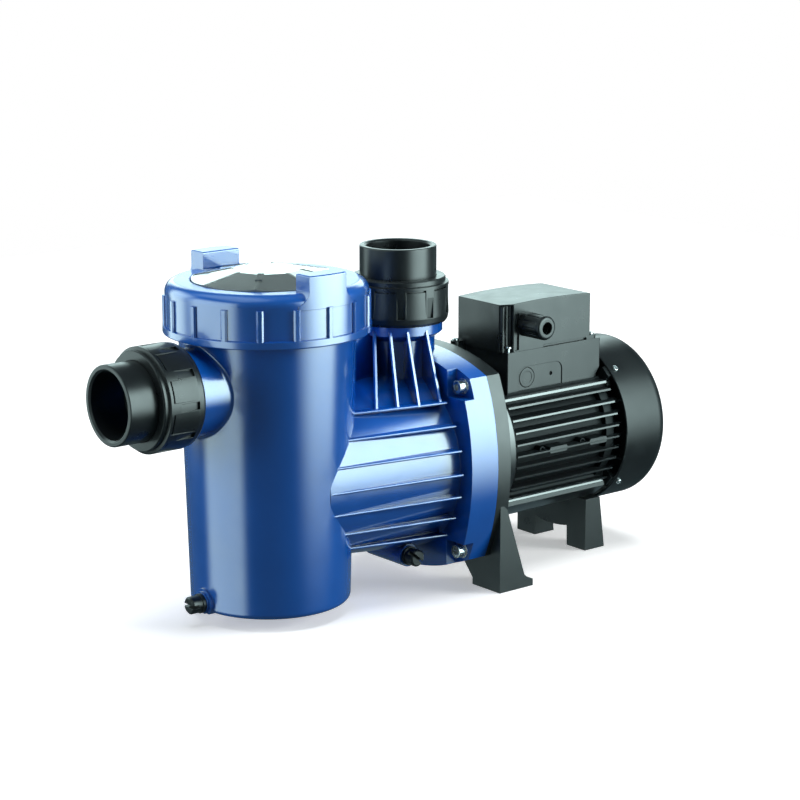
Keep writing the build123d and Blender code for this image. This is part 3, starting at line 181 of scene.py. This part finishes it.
# ---------------------------------------------------------------- materials
METAL_SCALE = 260
METAL_DETAIL = 3
METAL_STRENGTH = 0.3
METAL_DEPTH = 0.00003
BLUES = ((0.003, 0.105, 0.49), (0.005, 0.12, 0.55))
# painted shade: the dark blue that the base colour turns to down in recesses
PAINTED_RECESS_SHADE_BLUE = (0.001, 0.014, 0.085)
PAINTED_SHADE_REACH = 0.03
PAINTED_SHADE_OPENNESS = (0.15, 0.8)  # from all painted recess shade to none of it
BLUE_GLOSS = (("Coat Weight", 0.9), ("Specular IOR Level", 0.5))
LEVEL_FACE = (0.96, 0.99)  # upward part of the normal, from a slope to a level face
FIN_GLOSS_RADII = (0.0765, 0.0788)  # from the shaft, where a fin is dull and where it is glossy
FIN_GLOSS_HEIGHTS = (0.006, 0.03)  # above or below the shaft, over which the gloss rises


def moulded(name, dark, light, rough, grain, depth, ior=1.5, coat=0.0, coat_rough=0.1):
    """Moulded plastic or paint: faint mottling, uneven gloss and a fine surface grain."""
    r = Recipe(name, IOR=ior, Coat_Weight=coat, Coat_Roughness=coat_rough)
    r.link(r.mottle(dark, light), "Base Color")
    r.roughen(r.noise(GLOSS_SCALE), rough)
    r.grain(grain, depth)
    return r.material


def metal(name, dark, light, rough, stretch):
    """Bare metal with a directional grain."""
    r = Recipe(name, Metallic=1.0)
    lines = r.noise(METAL_SCALE, METAL_DETAIL, GRAIN_ROUGHNESS, r.stretched(stretch))
    r.link(r.blend(lines, dark, light), "Base Color")
    r.roughen(lines, rough)
    r.bump(lines, METAL_STRENGTH, METAL_DEPTH)
    return r.material


def blue_plastic(name="blue_plastic", ior=1.75, coat_rough=0.12, level_gloss=1.0):
    """Glossy blue moulding, with painted shade that darkens its colour down in its recesses.
    Faces that look straight up have the share level_gloss of the gloss."""
    r = Recipe(name, IOR=ior, Coat_Roughness=coat_rough)
    upward = r.axis(r.node("ShaderNodeNewGeometry").outputs["Normal"], "Z")
    for socket, full in BLUE_GLOSS:
        r.link(r.spread(upward, LEVEL_FACE, (full, full * level_gloss)), socket)
    # Painted shade: ambient occlusion darkens the base colour towards the dark recess blue.
    shade = r.node("ShaderNodeAmbientOcclusion", {"Distance": PAINTED_SHADE_REACH},
                   samples=SHADER_SAMPLES, only_local=True)
    openness = r.spread(shade.outputs["AO"], PAINTED_SHADE_OPENNESS)
    inputs = {"Factor": openness, 6: (*PAINTED_RECESS_SHADE_BLUE, 1), 7: r.mottle(*BLUES)}
    r.link(r.node("ShaderNodeMix", inputs, data_type="RGBA").outputs[2], "Base Color")
    r.roughen(r.noise(GLOSS_SCALE), (0.2, 0.25))
    r.grain(900, 0.00003)
    return r.material


def finned_casting():
    """Painted casting that is dull down between the fins and glossy on their tips, though less so
    on the tips at the height of the shaft."""
    r = Recipe("finned_casting", IOR=1.55, Coat_Roughness=0.14)
    r.link(r.mottle((0.006, 0.008, 0.009), (0.01, 0.012, 0.013)), "Base Color")
    height = r.math("SUBTRACT", r.axis(r.place, "Z"), SHAFT_Z)
    across = r.node("ShaderNodeCombineXYZ", {"Y": r.axis(r.place, "Y"), "Z": height})
    radius = r.node("ShaderNodeVectorMath", {0: across.outputs["Vector"]}, operation="LENGTH")
    tip = r.spread(radius.outputs["Value"], FIN_GLOSS_RADII)
    off_shaft = r.spread(r.math("ABSOLUTE", height), FIN_GLOSS_HEIGHTS, (0.1, 1))
    r.link(r.math("MULTIPLY", tip, off_shaft), "Coat Weight")
    r.link(r.spread(tip, (0, 1), (0.14, 0.5)), "Specular IOR Level")
    r.link(r.spread(tip, (0, 1), (0.5, 0.3)), "Roughness")
    r.grain(420, 0.0001)
    return r.material


def lid_plastic():
    """Smoky clear plastic."""
    r = Recipe("lid_plastic", IOR=1.5, Transmission_Weight=0.55, Coat_Weight=1.0,
               Coat_Roughness=0.06)
    r.link(r.blend(r.noise(9), (0.27, 0.33, 0.32), (0.31, 0.37, 0.36)), "Base Color")
    r.roughen(r.noise(40), (0.1, 0.2))
    r.bump(r.noise(220), 0.2, 0.00005)
    return r.material


# Each row: dark, light, roughness, scale and depth of the grain, index of refraction.
MOULDED = {
    "black_plastic": ((0.0085, 0.0105, 0.0115), (0.012, 0.014, 0.015), (0.27, 0.34),
                      1300, 0.00004, 1.52),
    "black_paint": ((0.008, 0.0105, 0.0115), (0.0125, 0.015, 0.016), (0.28, 0.37),
                    700, 0.00006, 1.42),
    "painted_casting": ((0.008, 0.0105, 0.0115), (0.0125, 0.015, 0.016), (0.28, 0.36),
                        420, 0.0001, 1.55),
    "internal_plastic": ((0.02, 0.02, 0.022), (0.035, 0.035, 0.037), (0.45, 0.6),
                         600, 0.00008, 1.5),
    "basket_plastic": ((0.55, 0.56, 0.55), (0.66, 0.67, 0.66), (0.4, 0.5), 700, 0.00005, 1.5),
    "rubber": ((0.008, 0.008, 0.008), (0.018, 0.018, 0.018), (0.6, 0.8), 500, 0.0001, 1.5),
    "seal_ceramic": ((0.72, 0.69, 0.62), (0.8, 0.78, 0.72), (0.15, 0.25), 1500, 0.00001, 1.5),
}
# Each row: dark, light, roughness, stretch of the grain along each axis.
METALS = {
    "stainless": ((0.5, 0.5, 0.5), (0.62, 0.62, 0.62), (0.18, 0.32), (0.2, 1, 1)),
    "zinc_screw": ((0.5, 0.51, 0.52), (0.66, 0.67, 0.68), (0.15, 0.28), (1, 1, 1)),
    "lamination": ((0.16, 0.16, 0.17), (0.3, 0.3, 0.31), (0.3, 0.5), (6, 0.2, 0.2)),
    "copper": ((0.5, 0.2, 0.08), (0.72, 0.33, 0.15), (0.2, 0.35), (4, 1, 1)),
    "brass": ((0.6, 0.43, 0.16), (0.75, 0.57, 0.25), (0.2, 0.3), (1, 1, 1)),
}
materials = {
    "blue_plastic": blue_plastic(),
    "lid_plastic": lid_plastic(),
    **{name: moulded(name, *look) for name, look in MOULDED.items()},
    **{name: metal(name, *look) for name, look in METALS.items()},
}


def paint(thing, material):
    thing.data.materials.clear()
    thing.data.materials.append(material)


for name, thing in nodes.items():
    paint(thing, materials[slot_of[name]])
paint(nodes["motor_frame"], finned_casting())
paint(nodes["lid_ring"], blue_plastic("ring_plastic", 2.0, 0.07, 0.2))


# ---------------------------------------------------------------- beads
def add_bead(name, section, start, end, material):
    """A narrow moulding with the same section, a list of points, at each end."""
    shape = bmesh.new()
    rings = [[shape.verts.new(Vector(place) + Vector(point)) for point in section]
             for place in (start, end)]
    for i in range(len(section)):
        j = (i + 1) % len(section)
        shape.faces.new((rings[0][i], rings[0][j], rings[1][j], rings[1][i]))
    for ring in rings:
        shape.faces.new(ring)
    bmesh.ops.recalc_face_normals(shape, faces=shape.faces)
    mesh = bpy.data.meshes.new(name)
    shape.to_mesh(mesh)
    shape.free()
    bead = bpy.data.objects.new(name, mesh)
    bpy.context.collection.objects.link(bead)
    paint(bead, material)
    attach(bead, "pump")


# ---------------------------------------------------------------- bright noses of the ledges
# The two ledges along each side of the motor.
LEDGE_Y = 0.0585
LEDGE_START = (0.107, 0, 0)
LEDGE_END = (0.2478, 0, 0)
UPPER_LEDGE = SHAFT_Z + 0.0504
LOWER_LEDGE = SHAFT_Z - 0.0535
UPPER_NOSE = (UPPER_LEDGE, UPPER_LEDGE + 0.0031)
LOWER_NOSE = (LOWER_LEDGE + 0.0003, LOWER_LEDGE + 0.0037)
NOSE_SUNK = 0.003
NOSE_OUT = (0.0011, 0.0013, 0.0006, 0.0001)  # beyond the ledge, from the bottom of the nose up
NOSE_LIP = 0.0004
NOSE_BROW = 0.0003


def add_ledge_nose(name, side, bottom, top, material):
    """A slanted bead along a ledge, which catches the light."""
    heights = (bottom, bottom + NOSE_LIP, top - NOSE_BROW, top)
    profile = [(-NOSE_SUNK, bottom), *zip(NOSE_OUT, heights), (-NOSE_SUNK, top)]
    section = [(0, side * (LEDGE_Y + y), z) for y, z in profile]
    add_bead(name, section, LEDGE_START, LEDGE_END, material)


bead_paint = moulded("bead_paint", (0.02, 0.024, 0.025), (0.03, 0.034, 0.035), (0.2, 0.26),
                     420, 0.00002, ior=1.6, coat=1.0, coat_rough=0.08)
for side, word in ((-1, "near"), (1, "far")):
    add_ledge_nose("upper_ledge_nose_" + word, side, *UPPER_NOSE, bead_paint)
    add_ledge_nose("lower_ledge_nose_" + word, side, *LOWER_NOSE, bead_paint)


# ---------------------------------------------------------------- bright edges of the blades
# The blades round the discharge neck.
BLADE_TOP = 0.259
BLADE_FOOT = SHAFT_Z + 0.066
BLADE_HALF = 0.0013
BLADE_PROUD = 0.0007
BLADE_SUNK = 0.0018
# The top and the foot of each near blade's edge, seen from above.
BLADE_ENDS = (
    ((0.0208, -0.0430), (0.0138, -0.0735)),
    ((0.0009, -0.0390), (-0.0104, -0.0705)),
    ((-0.0118, -0.0285), (-0.0320, -0.0650)),
    ((-0.0200, -0.0145), (-0.0530, -0.0585)),
)


def add_blade_edge(name, side, top, foot, material):
    """A flat facing on the sloping edge of one blade, square to the pump's side."""
    outline = ((-BLADE_HALF, -BLADE_PROUD), (BLADE_HALF, -BLADE_PROUD),
               (BLADE_HALF, BLADE_SUNK), (-BLADE_HALF, BLADE_SUNK))
    section = [(x, side * y, 0) for x, y in outline]
    start = (top[0], side * top[1], BLADE_TOP)
    end = (foot[0], side * foot[1], BLADE_FOOT)
    add_bead(name, section, start, end, material)


edge_plastic = blue_plastic("edge_plastic", 2.0, 0.07)
for side, word in ((1, "near"), (-1, "far")):
    for number, (top, foot) in enumerate(BLADE_ENDS, 1):
        add_blade_edge(f"blade_edge_{number}_{word}", side, top, foot, edge_plastic)


# ---------------------------------------------------------------- studio
WHITE = (1, 1, 1, 1)
REFLECTION_TINT = (0.76, 1.0, 0.985, 1)
ROOM_TINT = (0.6, 0.9, 1.0, 1)
ROOM_LEVEL = 0.13
FLOOR_HALF = 1.9
FLOOR_GREYS = ((0.93, 0.93, 0.93), (0.95, 0.95, 0.95))
FLOOR_GLOW = 0.4
SUN_LEVEL = 0.75
SUN_SPREAD = 40  # degrees
LAMP_DISTANCE = 2.2
# Each row: azimuth, elevation, diameter and level of a lamp.
LAMPS = {"right_light": (-45, 14, 1.0, 0.72), "left_light": (158, 12, 1.2, 0.42)}
# Each row: azimuths, elevations, radiance, the fade at the left, right, lower and upper edge, and
# the distance of a card.
CARDS = {
    "key_card": ((-102, -26), (-28, 48), 8.8, (0.45, 0.28, 0.5, 0.2), 1.0),
    "left_card": ((134, 203), (-40, 40), 2.6, (0.25, 0.2, 0.2, 0.3), 3.0),
    "near_left_card": ((106, 150), (-14, 45), 2.6, (0.3, 0.35, 0.1, 0.3), 0.8),
    "back_card": ((22, 90), (11, 46), 2.8, (0.12, 0.25, 0.08, 0.4), 0.8),
    "ceiling_card": ((117, 197), (45, 90), 0.8, (0.3, 0.3, 0.3, 0.3), 3.0),
}


def turn_to_centre(thing, azimuth, elevation, distance):
    """Puts a lamp or a card in a direction from the pump's centre, in degrees, facing it."""
    a = radians(azimuth)
    e = radians(elevation)
    away = Vector((cos(a) * cos(e), sin(a) * cos(e), sin(e)))
    thing.location = centre + away * distance
    thing.rotation_euler = away.to_track_quat("Z", "Y").to_euler()


def add_lamp(name, azimuth, elevation, diameter, level):
    """A soft area light for the body colours; the cards below make the reflections. The level is
    the brightness of a white face turned to the lamp."""
    data = bpy.data.lights.new(name, "AREA")
    data.shape = "DISK"
    data.size = diameter
    data.energy = level * pi * pi * LAMP_DISTANCE * LAMP_DISTANCE
    lamp = bpy.data.objects.new(name, data)
    turn_to_centre(lamp, azimuth, elevation, LAMP_DISTANCE)
    lamp.visible_camera = False
    lamp.visible_glossy = False
    bpy.context.collection.objects.link(lamp)


def add_sun():
    """Light from straight above, for the floor and the tops."""
    data = bpy.data.lights.new("top_light", "SUN")
    data.energy = SUN_LEVEL * pi
    data.angle = radians(SUN_SPREAD)
    lamp = bpy.data.objects.new("top_light", data)
    lamp.visible_glossy = False
    bpy.context.collection.objects.link(lamp)


def glow(name, radiance, fade):
    """Emission that fades out towards the edges of a card, over clear material."""
    material = bpy.data.materials.new(name)
    material.use_nodes = True
    material.cycles.emission_sampling = "NONE"
    tree = material.node_tree
    tree.nodes.clear()
    place = add_node(tree, "ShaderNodeTexCoord").outputs["Generated"]
    split = add_node(tree, "ShaderNodeSeparateXYZ", {"Vector": place})
    level = radiance
    for share, axis, edge in zip(fade, "XXYY", (0.0, 1.0, 0.0, 1.0)):
        inputs = {"Value": split.outputs[axis], "From Min": edge, "From Max": abs(edge - share)}
        step = add_node(tree, "ShaderNodeMapRange", inputs, interpolation_type="SMOOTHSTEP")
        inputs = {0: level, 1: step.outputs["Result"]}
        level = add_node(tree, "ShaderNodeMath", inputs, operation="MULTIPLY").outputs["Value"]
    light = add_node(tree, "ShaderNodeEmission", {"Color": REFLECTION_TINT, "Strength": level})
    clear = add_node(tree, "ShaderNodeBsdfTransparent")
    both = add_node(tree, "ShaderNodeAddShader", {0: light.outputs[0], 1: clear.outputs[0]})
    add_node(tree, "ShaderNodeOutputMaterial", {"Surface": both.outputs[0]})
    return material


def sheet(name, half_width, half_height, material):
    """A flat rectangle about its own origin."""
    mesh = bpy.data.meshes.new(name)
    corners = [(-half_width, -half_height, 0), (half_width, -half_height, 0),
               (half_width, half_height, 0), (-half_width, half_height, 0)]
    mesh.from_pydata(corners, [], [(0, 1, 2, 3)])
    made = bpy.data.objects.new(name, mesh)
    paint(made, material)
    bpy.context.collection.objects.link(made)
    return made


def add_card(name, azimuths, elevations, radiance, fade, distance):
    """A glowing card that only reflections see. It covers a range of directions about the pump, in
    degrees, and fades out over a share of its width or height at each edge."""
    half_width = distance * tan(radians((azimuths[1] - azimuths[0]) / 2))
    half_height = distance * tan(radians((elevations[1] - elevations[0]) / 2))
    card = sheet(name, half_width, half_height, glow(name, radiance, fade))
    turn_to_centre(card, sum(azimuths) / 2, sum(elevations) / 2, distance)
    card.visible_camera = False
    card.visible_diffuse = False
    card.visible_shadow = False
    card.visible_transmission = False


def add_floor():
    """A wide pale floor under the feet."""
    r = Recipe("pale_floor", Roughness=0.9, Specular_IOR_Level=0.1, Emission_Color=WHITE,
               Emission_Strength=FLOOR_GLOW)
    r.link(r.blend(r.noise(3, 2), *FLOOR_GREYS), "Base Color")
    floor = sheet("floor", FLOOR_HALF, FLOOR_HALF, r.material)
    floor.visible_glossy = False
    floor.visible_diffuse = False


def set_world():
    """White behind the pump, and a dim room in its reflections."""
    world = bpy.data.worlds.new("studio")
    world.use_nodes = True
    tree = world.node_tree
    bright = tree.nodes["Background"]
    bright.inputs["Color"].default_value = WHITE
    bright.inputs["Strength"].default_value = 1.0
    dim = add_node(tree, "ShaderNodeBackground", {"Color": ROOM_TINT, "Strength": ROOM_LEVEL})
    path = add_node(tree, "ShaderNodeLightPath")
    inputs = {0: path.outputs["Is Camera Ray"], 1: dim.outputs[0], 2: bright.outputs[0]}
    mix = add_node(tree, "ShaderNodeMixShader", inputs)
    tree.links.new(mix.outputs[0], tree.nodes["World Output"].inputs["Surface"])
    bpy.context.scene.world = world


set_world()
add_floor()
add_sun()
for name, settings in LAMPS.items():
    add_lamp(name, *settings)
for name, settings in CARDS.items():
    add_card(name, *settings)
bpy.context.scene.view_settings.view_transform = "Standard"
